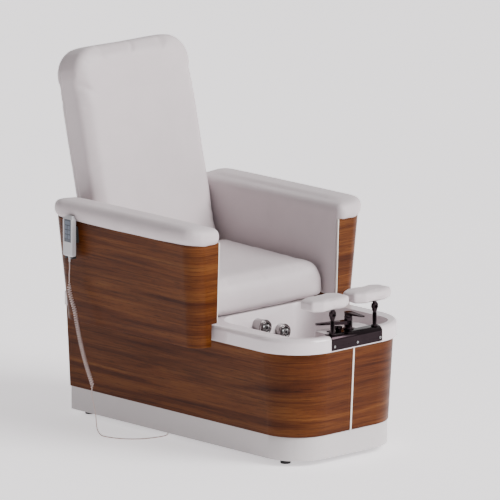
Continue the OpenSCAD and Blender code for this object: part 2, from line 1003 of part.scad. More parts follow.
module arm_panel(side) {
    color("sienna")
        arm_side(side)
            difference() {
                arm_body(0, seat_half + 6, arm_low, arm_top);
                arm_body(ply, seat_half - 10, arm_low - 1, arm_top + 1);
                // Room for the deck's rim, which the arm hangs over
                translate([0, -700, arm_low - 1])
                    cube([notch_x, 1400, notch_z - arm_low + 1]);
            }
}

module arm_bolster(side) {
    outer = arm_half + bolster_lap;
    front = arm_front - bolster_lap;
    rear = arm_rear + bolster_lap;
    high = arm_top + bolster_h;
    roll = 34;
    color("linen")
        arm_side(side)
            intersection() {
                translate([0, 0, arm_top])
                    linear_extrude(bolster_h)
                        arm_plan(outer, front, rear, seat_half, arm_corner + bolster_lap);
                along_y(front, rear - front)
                    union() {
                        translate([seat_half, arm_top])
                            square([outer - seat_half, bolster_h - roll]);
                        translate([seat_half + roll, arm_top])
                            square([outer - seat_half - 2 * roll, bolster_h]);
                        for (x = [seat_half + roll, outer - roll])
                            translate([x, high - roll])
                                circle(roll);
                    }
                along_x(seat_half, outer - seat_half)
                    union() {
                        translate([front, arm_top])
                            square([rear - front, bolster_h - roll]);
                        translate([front + roll, arm_top])
                            square([rear - front - 2 * roll, bolster_h]);
                        for (y = [front + roll, rear - roll])
                            translate([y, high - roll])
                                circle(roll);
                    }
            }
}

// Padded inner face of an arm; its front and rear edges lean with the veneer around them
module inner_pad(side) {
    thick = 18;
    low = carcass_low + board + 1;
    step_y = -132;
    function front_y(z) = arm_front + ply + 1 + front_lean * (arm_top - z) / (arm_top - arm_low);
    function rear_y(z) = arm_rear - ply - 1 - rear_lean * (arm_top - z) / (arm_top - arm_low);
    color("linen")
        arm_side(side)
            along_x(seat_half, thick)
                polygon([[front_y(notch_z), notch_z], [step_y, notch_z], [step_y, low],
                         [rear_y(low), low], [rear_y(arm_top), arm_top],
                         [front_y(arm_top), arm_top]]);
}

// ---- backrest ----
module back_outline(low) {
    translate([-back_half, low])
        square([2 * back_half, back_long - back_corner - low]);
    translate([back_corner - back_half, low])
        square([2 * (back_half - back_corner), back_long - low]);
    for (s = [-1, 1])
        translate([s * (back_half - back_corner), back_long - back_corner])
            circle(back_corner);
}

module back_cushion() {
    color("linen")
        on_back()
            along_y(0, cushion_t)
                back_outline(0);
}

module back_shell() {
    color("linen")
        on_back()
            along_y(cushion_t, back_thick - cushion_t)
                back_outline(0);
}

module back_hinge_arms() {
    color("dimgray") {
        // Torque tube, hinge pins and the crank that the actuator pushes
        rod_x(10, 2 * arm_plate_x, [0, pivot_y, pivot_z]);
        rod_x(pin_r, 2 * (ear_x + 12), [0, pivot_y, pivot_z]);
        hull() {
            rod_x(12, 8, [0, pivot_y, pivot_z]);
            rod_x(8, 8, [0, crank_y, crank_z]);
        }
        rod_x(crank_pin_r, 26, [0, crank_y, crank_z]);
        for (s = [-1, 1])
            arm_side(s) {
                on_back()
                    translate([arm_plate_x - 30, cushion_t + 2, -4])
                        cube([50, back_thick - cushion_t - 4, 4]);
                hull() {
                    rod_x(14, 6, [arm_plate_x + 3, pivot_y, pivot_z]);
                    on_back()
                        translate([arm_plate_x, cushion_t + 2, -3])
                            cube([6, back_thick - cushion_t - 4, 2]);
                }
            }
    }
}

module recline_actuator() {
    color("darkgray")
        difference() {
            union() {
                rod_y(17, 110, 350, 0, crank_z);
                translate([-22, 50, carcass_low + board])
                    cube([44, 80, 44]);
                translate([-22, 120, carcass_low + board])
                    cube([90, 44, 44]);
            }
            rod_y(rod_r + run, 190, 351, 0, crank_z);
        }
}

module actuator_rod() {
    slack = 1.6;
    fork = 9;
    color("silver")
        difference() {
            union() {
                rod_y(rod_r, 215, 445, 0, crank_z);
                translate([-13, 440, crank_z - fork])
                    cube([26, crank_y - 440, 2 * fork]);
                rod_x(fork, 26, [0, crank_y, crank_z]);
            }
            translate([-6.5, 447, crank_z - 20])
                cube([13, 60, 40]);
            rod_x(crank_pin_r + slack, 40, [0, crank_y, crank_z]);
        }
}

// ---- handset ----
// Outer face of the right arm panel at a height, measured from the middle of the chair
function arm_face(z) = arm_half - arm_flare * (arm_top - 1 - z) / (arm_top - arm_low - 2);

module handset_cradle() {
    low = hand_z - 8;
    front = hand_x + gap;
    color("darkslategray") {
        along_y(hand_y - 20, 40)
            polygon([[front, 700], [front, 760], [-arm_face(760) - 0.2, 760],
                     [-arm_face(700) - 0.2, 700]]);
        along_y(hand_y - 20, 40)
            polygon([[front, low], [front, 700], [front + 5, 700], [front + 5, low]]);
        for (s = [-1, 1])
            translate([hand_x - handset[1] + 4, hand_y + s * 16 - 4, low])
                cube([handset[1] - 4 + gap, 8, 8 - gap]);
    }
}

module handset_shell() {
    r = 6;
    depth = handset[1];
    color("gainsboro")
        difference() {
            union() {
                intersection() {
                    translate([hand_x - depth, 0, 0])
                        rotate([90, 0, 90])
                            linear_extrude(depth)
                                translate([hand_y, hand_z])
                                    union() {
                                        translate([-25, 8])
                                            square([50, 124]);
                                        translate([-17, 0])
                                            square([34, 150]);
                                        for (x = [-17, 17])
                                            translate([x, 8])
                                                circle(8);
                                        for (x = [-7, 7])
                                            translate([x, 132])
                                                circle(18);
                                    }
                    along_y(hand_y - 30, 60)
                        polygon([[hand_x, hand_z], [hand_x, hand_z + 150],
                                 [hand_x - depth + r, hand_z + 150],
                                 [hand_x - depth, hand_z + 150 - 2 * r],
                                 [hand_x - depth, hand_z + r], [hand_x - depth + r, hand_z]]);
                }
                translate([cord_x, hand_y, hand_z - relief_h])
                    cylinder(r1 = 3, r2 = 4.5, h = relief_h + 2);
            }
            translate([hand_x - depth - 1, hand_y - bezel[0] / 2, bezel_z - bezel[1] / 2])
                cube([6.5, bezel[0], bezel[1]]);
        }
}

module keypad_bezel() {
    out = hand_x - handset[1] - 0.4;
    color("slategray")
        difference() {
            translate([out, hand_y - bezel[0] / 2 + 0.1, bezel_z - bezel[1] / 2 + 0.1])
                cube([bezel_t, bezel[0] - 0.2, bezel[1] - 0.2]);
            for (k = [0:6])
                key_block(k, 2, 12, 0.35);
        }
}

// Place of key k in the handset's plane: the wide power key is 0, the others run in pairs below
function key_at(k) =
    k == 0 ? [0, key_power_z]
           : [((k - 1) % 2 - 0.5) * key_pitch[0], key_power_z - (floor((k - 1) / 2) + 1) * key_pitch[1]];

module key_block(k, out, depth, slack) {
    wide = (k == 0 ? key_size[0] + key_pitch[0] : key_size[0]) + 2 * slack;
    tall = key_size[1] + 2 * slack;
    at = key_at(k);
    translate([hand_x - handset[1] - out, hand_y + at[0] - wide / 2, at[1] - tall / 2])
        cube([depth, wide, tall]);
}

module key(k) {
    color(k == 0 ? "lightgray" : "lightsteelblue")
        key_block(k, key_out, 5.6, 0);
}

// ---- handset cord ----
module cord_top_lead() {
    color("mistyrose")
        tube(eased(top_route, 2), cord_d, 8);
}

module cord_coil() {
    color("mistyrose")
        tube(eased(coil_route, 2), curl_d, 12);
}

module cord_floor_lead() {
    color("mistyrose")
        tube(eased(floor_route, 2), cord_d, 8);
}

plinth();
base_frame();
levelling_feet();
cabinet_side(1);  // left_cabinet_panel
cabinet_side(-1);  // right_cabinet_panel
rear_access_panel();
front_trim_strip();
basin_deck();
fixture_bridge();
bridge_screws();
mixer_body();
footrest_tubes();
drain_fitting();
suction_cover();
jet_bodies();
circulation_pump();
water_pipes();
control_box();
power_inlet();
cord_gland();
slide_rails();
cord_floor_lead();
mixer_cap();
mixer_lever();
spout();
diverter_knob();
drain_plug();
jet_nozzle(jets[1]);  // left_jet_nozzle
jet_nozzle(jets[0]);  // right_jet_nozzle
footrest_stem(1);  // left_footrest_stem
footrest_stem(-1);  // right_footrest_stem
pad_bracket(1);  // left_pad_bracket
pad_bracket(-1);  // right_pad_bracket
foot_pad(1);  // left_foot_pad
foot_pad(-1);  // right_foot_pad
seat_carcass();
seat_cushion();
arm_panel(1);  // left_arm_panel
arm_panel(-1);  // right_arm_panel
arm_bolster(1);  // left_arm_bolster
arm_bolster(-1);  // right_arm_bolster
inner_pad(1);  // left_inner_pad
inner_pad(-1);  // right_inner_pad
handset_cradle();
recline_actuator();
cord_coil();
cord_top_lead();
back_shell();
back_cushion();
back_hinge_arms();
actuator_rod();
handset_shell();
keypad_bezel();
key(0);  // key_power
key(1);  // key_1
key(2);  // key_2
key(3);  // key_3
key(4);  // key_4
key(5);  // key_5
key(6);  // key_6
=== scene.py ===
import math

import bmesh
import bpy
from mathutils import Matrix, Vector


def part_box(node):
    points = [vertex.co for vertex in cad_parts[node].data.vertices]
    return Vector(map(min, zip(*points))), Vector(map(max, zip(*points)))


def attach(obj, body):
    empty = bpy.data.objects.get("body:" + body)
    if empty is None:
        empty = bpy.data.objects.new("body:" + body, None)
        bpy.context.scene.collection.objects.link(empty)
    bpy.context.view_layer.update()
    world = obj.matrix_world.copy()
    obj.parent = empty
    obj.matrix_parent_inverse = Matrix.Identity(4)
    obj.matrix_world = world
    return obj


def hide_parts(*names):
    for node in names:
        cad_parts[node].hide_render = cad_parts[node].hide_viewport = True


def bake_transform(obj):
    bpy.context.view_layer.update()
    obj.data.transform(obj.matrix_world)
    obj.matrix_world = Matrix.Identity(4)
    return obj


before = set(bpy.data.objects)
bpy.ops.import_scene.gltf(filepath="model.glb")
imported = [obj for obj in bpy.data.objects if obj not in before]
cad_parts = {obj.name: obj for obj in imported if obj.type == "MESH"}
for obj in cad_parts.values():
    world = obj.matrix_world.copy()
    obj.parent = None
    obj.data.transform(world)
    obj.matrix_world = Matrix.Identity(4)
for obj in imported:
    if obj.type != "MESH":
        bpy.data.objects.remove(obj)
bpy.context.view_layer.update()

# Looks of the pedicure spa chair. Metres, +Z up, the basin at the front (-Y), sitter's right at -X.

# ---- camera ----
VIEW_AZIMUTH = math.radians(-43.0)
VIEW_ELEVATION = math.radians(12.28)
VIEW_DISTANCE = 28.347
VIEW_TARGET = Vector((-0.3435, -0.4523, 0.7931))
VIEW_LENS = 575.7
SENSOR_WIDTH = 36
CLIP_NEAR = 1
CLIP_FAR = 200


def add_camera():
    data = bpy.data.cameras.new("camera")
    data.lens = VIEW_LENS
    data.sensor_width = SENSOR_WIDTH
    data.clip_start = CLIP_NEAR
    data.clip_end = CLIP_FAR
    camera = bpy.data.objects.new("camera", data)
    bpy.context.scene.collection.objects.link(camera)
    back = Vector((
        math.sin(VIEW_AZIMUTH) * math.cos(VIEW_ELEVATION),
        -math.cos(VIEW_AZIMUTH) * math.cos(VIEW_ELEVATION),
        math.sin(VIEW_ELEVATION),
    ))
    camera.location = VIEW_TARGET + back * VIEW_DISTANCE
    camera.rotation_euler = (-back).to_track_quat("-Z", "Y").to_euler()
    bpy.context.scene.camera = camera


add_camera()


# ---- mesh helpers ----
def new_object(name, verts, faces):
    mesh = bpy.data.meshes.new(name)
    mesh.from_pydata([tuple(v) for v in verts], [], faces)
    mesh.update()
    mesh.shade_smooth()
    obj = bpy.data.objects.new(name, mesh)
    bpy.context.scene.collection.objects.link(obj)
    return obj


def apply_modifiers(obj):
    """Replaces the object's mesh by what its modifiers make of it."""
    graph = bpy.context.evaluated_depsgraph_get()
    mesh = bpy.data.meshes.new_from_object(obj.evaluated_get(graph))
    obj.modifiers.clear()
    obj.data = mesh
    mesh.shade_smooth()


def ring_frames(path):
    """Tangent and two cross directions at each point, carried along without twist."""
    frames = []
    side = None
    for i, point in enumerate(path):
        before = path[max(i - 1, 0)]
        after = path[min(i + 1, len(path) - 1)]
        tangent = (after - before).normalized()
        if side is None:
            side = tangent.orthogonal().normalized()
        side = (side - tangent * side.dot(tangent)).normalized()
        frames.append((tangent, side, tangent.cross(side)))
    return frames


def tube(name, path, radius, sides=8):
    """Closed tube of one radius along a list of points."""
    path = [Vector(p) for p in path]
    verts = []
    for point, (tangent, side, up) in zip(path, ring_frames(path)):
        for k in range(sides):
            turn = 2 * math.pi * k / sides
            verts.append(point + radius * (math.cos(turn) * side + math.sin(turn) * up))
    faces = []
    for i in range(len(path) - 1):
        for k in range(sides):
            near, far = i * sides + k, i * sides + (k + 1) % sides
            faces.append((near, far, far + sides, near + sides))
    faces.append(tuple(range(sides - 1, -1, -1)))
    faces.append(tuple(range(len(verts) - sides, len(verts))))
    return new_object(name, verts, faces)


def lathe(name, profile, centre, axis, sides=48):
    """Closed solid turned from (radius, height) pairs about an axis through centre."""
    axis = Vector(axis).normalized()
    side = axis.orthogonal().normalized()
    up = axis.cross(side)
    verts = []
    for radius, height in profile:
        for k in range(sides):
            turn = 2 * math.pi * k / sides
            spoke = math.cos(turn) * side + math.sin(turn) * up
            verts.append(Vector(centre) + axis * height + spoke * radius)
    faces = []
    for i in range(len(profile) - 1):
        for k in range(sides):
            near, far = i * sides + k, i * sides + (k + 1) % sides
            faces.append((near, far, far + sides, near + sides))
    faces.append(tuple(range(sides - 1, -1, -1)))
    faces.append(tuple(range(len(verts) - sides, len(verts))))
    return new_object(name, verts, faces)


def eased(route, steps):
    """Catmull-Rom points through a given route, keeping both ends."""
    route = [Vector(p) for p in route]
    points = []
    for i in range(len(route) - 1):
        a, b = route[max(i - 1, 0)], route[i]
        c, d = route[i + 1], route[min(i + 2, len(route) - 1)]
        for k in range(steps):
            t = k / steps
            points.append(0.5 * (2 * b + (c - a) * t + (2 * a - 5 * b + 4 * c - d) * t ** 2
                                 + (3 * b - a - 3 * c + d) * t ** 3))
    points.append(route[-1])
    return points


def evenly(path, count):
    """Count + 1 points at even spacing along a path."""
    reach = [0.0]
    for a, b in zip(path, path[1:]):
        reach.append(reach[-1] + (b - a).length)
    points = []
    at = 0
    for k in range(count + 1):
        wanted = reach[-1] * k / count
        while at < len(path) - 2 and reach[at + 1] < wanted:
            at += 1
        share = (wanted - reach[at]) / (reach[at + 1] - reach[at])
        points.append(path[at].lerp(path[at + 1], min(share, 1)))
    return points


# ---- handset cord ----
CORD_D = 0.004
CURL_R = 0.006
CURL_TURNS = 46
CURL_STEPS = 14
CURL_EASE = 3
CORD_X = -0.44585
TOP_ROUTE = [(CORD_X, 0.395, 0.630), (CORD_X, 0.395, 0.617), (CORD_X, 0.395, 0.604),
             (CORD_X, 0.397, 0.580), (CORD_X, 0.397, 0.567), (CORD_X, 0.397, 0.555)]
COIL_ROUTE = [(CORD_X, 0.397, 0.555), (CORD_X, 0.397, 0.543), (CORD_X, 0.397, 0.531),
              (-0.447, 0.387, 0.500), (-0.445, 0.370, 0.455), (-0.443, 0.358, 0.400),
              (-0.440, 0.346, 0.345), (-0.437, 0.332, 0.295), (-0.434, 0.314, 0.245),
              (-0.430, 0.295, 0.196), (-0.430, 0.295, 0.184), (-0.430, 0.295, 0.172)]
FLOOR_ROUTE = [(-0.430, 0.295, 0.172), (-0.430, 0.295, 0.160), (-0.430, 0.295, 0.148),
               (-0.427, 0.290, 0.120), (-0.424, 0.284, 0.090), (-0.421, 0.282, 0.060),
               (-0.420, 0.281, 0.035), (-0.419, 0.274, 0.016), (-0.418, 0.260, 0.005),
               (-0.416, 0.240, 0.0022), (-0.407, 0.200, 0.0022), (-0.385, 0.160, 0.0022),
               (-0.350, 0.128, 0.0022), (-0.305, 0.108, 0.0022), (-0.262, 0.101, 0.0022),
               (-0.245, 0.100, 0.003), (-0.236, 0.100, 0.007), (-0.233, 0.100, 0.013),
               (-0.233, 0.100, 0.016), (-0.233, 0.100, 0.019)]


def curled(route):
    """The coil's wire: a helix round the route that closes onto it at both ends."""
    count = CURL_TURNS * CURL_STEPS
    middle = evenly(eased(route, 8), count)
    strand = []
    for i, (point, (tangent, side, up)) in enumerate(zip(middle, ring_frames(middle))):
        turn = 2 * math.pi * i / CURL_STEPS
        near_end = min(i, count - i) / (CURL_EASE * CURL_STEPS)
        radius = CURL_R * math.sin(math.pi / 2 * min(near_end, 1))
        strand.append(point + radius * (math.cos(turn) * side + math.sin(turn) * up))
    return strand


def add_cords():
    """The curly lead from the handset down to seat height, then the plain lead to the plinth."""
    hanging = eased(TOP_ROUTE, 4)[:-1] + curled(COIL_ROUTE)
    curly = tube("handset_cord_curly", hanging, CORD_D / 2)
    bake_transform(curly)
    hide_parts("cord_top_lead", "cord_coil")
    lying = eased(FLOOR_ROUTE, 2)
    plain = tube("handset_cord_plain", lying, CORD_D / 2, 10)
    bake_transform(plain)
    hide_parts("cord_floor_lead")
    return curly, plain


CURLY_CORD, PLAIN_CORD = add_cords()


# ---- materials ----
def wire(tree, kind, inputs=None, **settings):
    """Adds a shader node; inputs are values or other nodes' output sockets."""
    made = tree.nodes.new(kind)
    for key, value in settings.items():
        setattr(made, key, value)
    for key, value in (inputs or {}).items():
        if isinstance(value, bpy.types.NodeSocket):
            tree.links.new(value, made.inputs[key])
        else:
            made.inputs[key].default_value = value
    return made


def start_material(name, roughness, metallic=0.0, specular=0.5, coat=0.0, coat_roughness=0.1,
                   sheen=0.0):
    material = bpy.data.materials.new(name)
    material.use_nodes = True
    tree = material.node_tree
    shader = tree.nodes["Principled BSDF"]
    shader.inputs["Roughness"].default_value = roughness
    shader.inputs["Metallic"].default_value = metallic
    shader.inputs["Specular IOR Level"].default_value = specular
    shader.inputs["Coat Weight"].default_value = coat
    shader.inputs["Coat Roughness"].default_value = coat_roughness
    shader.inputs["Sheen Weight"].default_value = sheen
    return material, tree, shader


def stretched(tree, scale, detail=4.0, distortion=0.0):
    """Noise in the object's own space, stretched by a scale for each axis."""
    coords = wire(tree, "ShaderNodeTexCoord")
    placed = wire(tree, "ShaderNodeMapping",
                  {"Vector": coords.outputs["Object"], "Scale": scale})
    noise = wire(tree, "ShaderNodeTexNoise",
                 {"Vector": placed.outputs[0], "Scale": 1.0, "Detail": detail,
                  "Roughness": 0.6, "Distortion": distortion})
    return noise.outputs["Fac"]


def ramp(tree, fac, stops):
    made = wire(tree, "ShaderNodeValToRGB", {"Fac": fac})
    elements = made.color_ramp.elements
    while len(elements) < len(stops):
        elements.new(0.5)
    for element, (place, colour) in zip(elements, stops):
        element.position = place
        element.color = (*colour, 1.0)
    return made.outputs["Color"]


def between(tree, fac, low, high):
    """Number that runs from low to high as fac runs over the noise's usual spread."""
    return wire(tree, "ShaderNodeMapRange",
                {"Value": fac, "From Min": 0.3, "From Max": 0.7, "To Min": low,
                 "To Max": high}).outputs["Result"]


def multiply(tree, a, b):
    made = wire(tree, "ShaderNodeMix", {"Factor": 1.0, "A": a, "B": b}, data_type="RGBA",
                blend_type="MULTIPLY")
    return made.outputs["Result"]


def bump(tree, shader, height, distance, strength):
    made = wire(tree, "ShaderNodeBump",
                {"Height": height, "Distance": distance, "Strength": strength})
    tree.links.new(made.outputs["Normal"], shader.inputs["Normal"])


def mix_colours(tree, fac, a, b):
    made = wire(tree, "ShaderNodeMix", {"Factor": fac}, data_type="RGBA")
    for socket, value in ((made.inputs["A"], a), (made.inputs["B"], b)):
        if isinstance(value, bpy.types.NodeSocket):
            tree.links.new(value, socket)
        else:
            socket.default_value = (*value, 1.0)
    return made.outputs["Result"]


def veneer():
    """Walnut-toned veneer under satin lacquer, its grain running level round every bend."""
    material, tree, shader = start_material("veneer", 0.42, specular=0.10, coat=0.03,
                                            coat_roughness=0.25)
    figure = stretched(tree, (1.1, 1.1, 26.0), detail=7.0, distortion=0.9)
    colour = ramp(tree, figure, [
        (0.30, (0.050, 0.0100, 0.0016)),
        (0.44, (0.104, 0.0270, 0.0050)),
        (0.56, (0.152, 0.0470, 0.0095)),
        (0.72, (0.215, 0.0800, 0.0180)),
    ])
    broad = ramp(tree, stretched(tree, (0.9, 0.9, 5.0), detail=2.0),
                 [(0.30, (0.62, 0.56, 0.52)), (0.70, (1.0, 1.0, 1.0))])
    streaks = ramp(tree, stretched(tree, (3.0, 3.0, 210.0), detail=5.0),
                   [(0.34, (0.62, 0.55, 0.50)), (0.52, (1.0, 1.0, 1.0))])
    pores = stretched(tree, (16.0, 16.0, 560.0), detail=2.0)
    flecks = ramp(tree, pores, [(0.34, (0.50, 0.44, 0.40)), (0.42, (1.0, 1.0, 1.0))])
    colour = multiply(tree, multiply(tree, multiply(tree, colour, broad), streaks), flecks)
    tree.links.new(colour, shader.inputs["Base Color"])
    tree.links.new(between(tree, figure, 0.44, 0.32), shader.inputs["Roughness"])
    bump(tree, shader, pores, 0.00025, 0.6)
    return material


def leather(name, tone):
    """Coated upholstery fabric with a fine pebbled grain and soft, uneven handling marks."""
    material, tree, shader = start_material(name, 0.46, specular=0.4, sheen=0.12)
    shader.inputs["Sheen Roughness"].default_value = 0.5
    coords = wire(tree, "ShaderNodeTexCoord")
    pebbles = wire(tree, "ShaderNodeTexVoronoi",
                   {"Vector": coords.outputs["Object"], "Scale": 700.0}, feature="F1")
    creases = stretched(tree, (60.0, 60.0, 60.0), detail=5.0)
    marks = stretched(tree, (5.0, 5.0, 5.0), detail=3.0)
    worn = [c * 0.93 for c in tone]
    colour = mix_colours(tree, between(tree, marks, 0.0, 1.0), worn, tone)
    grooves = ramp(tree, pebbles.outputs["Distance"],
                   [(0.0, (1.0, 1.0, 1.0)), (0.9, (0.93, 0.92, 0.92))])
    tree.links.new(multiply(tree, colour, grooves), shader.inputs["Base Color"])
    tree.links.new(between(tree, marks, 0.52, 0.42), shader.inputs["Roughness"])
    height = wire(tree, "ShaderNodeMath",
                  {0: creases, 1: pebbles.outputs["Distance"]}, operation="SUBTRACT")
    bump(tree, shader, height.outputs[0], 0.00022, 0.5)
    return material


def shell(name, tone, roughness, coat=0.0, mottle=0.03, grain=0.00004, grain_size=240.0):
    """Moulded or painted surface: slight unevenness of tone, sheen and skin."""
    material, tree, shader = start_material(name, roughness, coat=coat)
    marks = stretched(tree, (7.0, 7.0, 7.0), detail=4.0)
    dull = [c * (1.0 - mottle) for c in tone]
    tree.links.new(mix_colours(tree, between(tree, marks, 0.0, 1.0), dull, tone),
                   shader.inputs["Base Color"])
    tree.links.new(between(tree, marks, roughness * 1.25, roughness * 0.85),
                   shader.inputs["Roughness"])
    skin = stretched(tree, (grain_size, grain_size, grain_size), detail=3.0)
    bump(tree, shader, skin, grain, 0.5)
    return material


def metal(name, tone, roughness, scratch_depth=0.00002):
    """Polished, satin or brushed metal with faint smudges."""
    material, tree, shader = start_material(name, roughness, metallic=1.0)
    smudges = stretched(tree, (26.0, 26.0, 26.0), detail=5.0)
    hazed = [c * 0.86 for c in tone]
    tree.links.new(mix_colours(tree, between(tree, smudges, 0.0, 1.0), hazed, tone),
                   shader.inputs["Base Color"])
    tree.links.new(between(tree, smudges, roughness * 1.5, roughness * 0.8),
                   shader.inputs["Roughness"])
    scratches = stretched(tree, (40.0, 900.0, 900.0), detail=3.0)
    bump(tree, shader, scratches, scratch_depth, 0.4)
    return material


def plywood():
    """Raw birch plywood: pale, with level plies."""
    material, tree, shader = start_material("plywood", 0.7)
    grain = stretched(tree, (6.0, 6.0, 320.0), detail=5.0)
    tree.links.new(ramp(tree, grain, [(0.35, (0.42, 0.27, 0.15)), (0.65, (0.66, 0.48, 0.30))]),
                   shader.inputs["Base Color"])
    bump(tree, shader, grain, 0.0003, 0.5)
    return material


VENEER = veneer()
LEATHER = leather("leatherette", (0.70, 0.625, 0.640))
ACRYLIC = shell("acrylic", (0.78, 0.70, 0.72), 0.14, coat=0.5, grain=0.00002, grain_size=60.0)
PAINT = shell("plinth_paint", (0.60, 0.565, 0.565), 0.34)
TRIM = shell("pale_trim", (0.78, 0.74, 0.68), 0.4)
DARK_CHROME = metal("dark_chrome", (0.026, 0.018, 0.021), 0.10)
CHROME = metal("chrome", (0.34, 0.32, 0.32), 0.10)
STEEL = metal("steel", (0.42, 0.42, 0.42), 0.34, scratch_depth=0.00005)
FRAME_PAINT = shell("frame_paint", (0.035, 0.036, 0.038), 0.45, grain=0.0001)
BLACK = shell("black_rubber", (0.016, 0.016, 0.017), 0.6, grain=0.0001)
HANDSET_SHELL = shell("handset_plastic", (0.60, 0.60, 0.62), 0.38)
HANDSET_PANEL = shell("key_panel", (0.045, 0.060, 0.085), 0.3, coat=0.4)
HANDSET_KEY = shell("key_rubber", (0.15, 0.18, 0.23), 0.5)
CORD_SKIN = shell("cord_skin", (0.62, 0.50, 0.47), 0.42)
PIPE = shell("pipe_plastic", (0.55, 0.55, 0.55), 0.35)
PUMP = shell("pump_housing", (0.03, 0.05, 0.055), 0.5, grain=0.0002)
BOX = shell("box_plastic", (0.20, 0.20, 0.21), 0.5, grain=0.0002)
PLYWOOD = plywood()

NODE_MATERIALS = {
    "plinth": PAINT, "base_frame": FRAME_PAINT, "levelling_feet": BLACK,
    "left_cabinet_panel": VENEER, "right_cabinet_panel": VENEER, "rear_access_panel": VENEER,
    "front_trim_strip": TRIM, "basin_deck": ACRYLIC, "fixture_bridge": DARK_CHROME,
    "bridge_screws": STEEL, "mixer_body": DARK_CHROME, "footrest_tubes": DARK_CHROME,
    "drain_fitting": CHROME, "suction_cover": CHROME, "jet_bodies": CHROME,
    "circulation_pump": PUMP, "water_pipes": PIPE, "control_box": BOX, "power_inlet": BLACK,
    "cord_gland": BLACK, "slide_rails": STEEL, "mixer_cap": DARK_CHROME,
    "mixer_lever": DARK_CHROME, "spout": DARK_CHROME, "diverter_knob": DARK_CHROME,
    "drain_plug": CHROME, "left_jet_nozzle": STEEL, "right_jet_nozzle": STEEL,
    "left_footrest_stem": DARK_CHROME, "right_footrest_stem": DARK_CHROME,
    "left_pad_bracket": DARK_CHROME, "right_pad_bracket": DARK_CHROME,
    "seat_carcass": PLYWOOD, "left_arm_panel": VENEER, "right_arm_panel": VENEER,
    # The handset cradle wears the dark frame paint as painted shade: it stands in for the shadow
    # beside and below the handset.
    "handset_cradle": FRAME_PAINT, "recline_actuator": FRAME_PAINT, "actuator_rod": STEEL,
    "back_hinge_arms": FRAME_PAINT, "handset_shell": HANDSET_SHELL,
    "keypad_bezel": HANDSET_PANEL, "key_power": HANDSET_KEY,
}
for number in range(1, 7):
    NODE_MATERIALS[f"key_{number}"] = HANDSET_KEY

# Width of the eased edge on the parts that are seen, in metres
NODE_EDGES = {
    "plinth": 0.002, "left_cabinet_panel": 0.0015, "right_cabinet_panel": 0.0015,
    "left_arm_panel": 0.0015, "right_arm_panel": 0.0015, "rear_access_panel": 0.001,
    "basin_deck": 0.002, "fixture_bridge": 0.0008, "mixer_body": 0.0012, "mixer_cap": 0.0012,
    "mixer_lever": 0.0014, "spout": 0.0014, "diverter_knob": 0.001, "footrest_tubes": 0.0008,
    "left_footrest_stem": 0.0008, "right_footrest_stem": 0.0008, "left_pad_bracket": 0.0008,
    "right_pad_bracket": 0.0008, "handset_shell": 0.003, "keypad_bezel": 0.0008,
    "key_power": 0.0006, "jet_bodies": 0.001, "handset_cradle": 0.001, "seat_carcass": 0.001,
}
EDGE_ANGLE = math.radians(34)
WELD_DISTANCE = 0.00002


def dress_nodes():
    """Gives every CAD node its material and eases the edges of the ones that are seen."""
    for name, material in NODE_MATERIALS.items():
        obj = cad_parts[name]
        obj.data.materials.clear()
        obj.data.materials.append(material)
        if name in NODE_EDGES:
            weld = obj.modifiers.new("weld", "WELD")
            weld.merge_threshold = WELD_DISTANCE
            bevel = obj.modifiers.new("eased_edges", "BEVEL")
            bevel.width = NODE_EDGES[name]
            bevel.segments = 3
            bevel.limit_method = "ANGLE"
            bevel.angle_limit = EDGE_ANGLE
            bevel.harden_normals = True


def paint(obj, material):
    obj.data.materials.clear()
    obj.data.materials.append(material)


# ---- soft goods ----
def ball_hull(balls):
    """Vertices and faces of the taut skin round balls, each (x, y, z, radius)."""
    ball = bmesh.new()
    bmesh.ops.create_icosphere(ball, subdivisions=3, radius=1.0)
    unit_points = [v.co.copy() for v in ball.verts]
    ball.free()
    mesh = bmesh.new()
    for x, y, z, radius in balls:
        for point in unit_points:
            mesh.verts.new(Vector((x, y, z)) + radius * point)
    made = bmesh.ops.convex_hull(mesh, input=mesh.verts)
    inside = [g for g in made["geom_interior"] if isinstance(g, bmesh.types.BMVert)]
    bmesh.ops.delete(mesh, geom=inside, context="VERTS")
    mesh.verts.index_update()
    verts = [v.co.copy() for v in mesh.verts]
    faces = [tuple(v.index for v in f.verts) for f in mesh.faces]
    mesh.free()
    return verts, faces


def soft_body(name, hulls, voxel):
    """One closed skin over several hulls, evenly meshed and with the steps smoothed out."""
    verts, faces = [], []
    for hull_verts, hull_faces in hulls:
        start = len(verts)
        verts += hull_verts
        faces += [tuple(i + start for i in face) for face in hull_faces]
    obj = new_object(name, verts, faces)
    remesh = obj.modifiers.new("remesh", "REMESH")
    remesh.mode = "VOXEL"
    remesh.voxel_size = voxel
    smooth = obj.modifiers.new("smooth", "SMOOTH")
    smooth.factor = 0.5
    smooth.iterations = 6
    apply_modifiers(obj)
    return obj


INFLATE_FRAMES = 20
INFLATE_PRESSURE = 4.0
# Sizes of the mesh's cells in the padded pieces: the large ones and the foot pads
CELL = 0.006
SMALL_CELL = 0.004


def inflate(obj, cap, room=(1.0, 1.0, 1.0)):
    """Swells the skin as cloth under pressure: room is each axis's share, cap the furthest."""
    cloth = obj.modifiers.new("cloth", "CLOTH")
    cloth.settings.use_pressure = True
    cloth.settings.uniform_pressure_force = INFLATE_PRESSURE
    cloth.settings.effector_weights.gravity = 0
    cloth.point_cache.frame_start = 1
    cloth.point_cache.frame_end = INFLATE_FRAMES
    scene = bpy.context.scene
    for step in range(1, INFLATE_FRAMES + 1):
        scene.frame_set(step)
    graph = bpy.context.evaluated_depsgraph_get()
    swollen = [v.co.copy() for v in obj.evaluated_get(graph).data.vertices]
    obj.modifiers.remove(cloth)
    scene.frame_set(1)
    for vertex, end in zip(obj.data.vertices, swollen):
        push = end - vertex.co
        push = Vector((push.x * room[0], push.y * room[1], push.z * room[2]))
        if push.length > 0:
            vertex.co += push.normalized() * cap * math.tanh(push.length / cap)


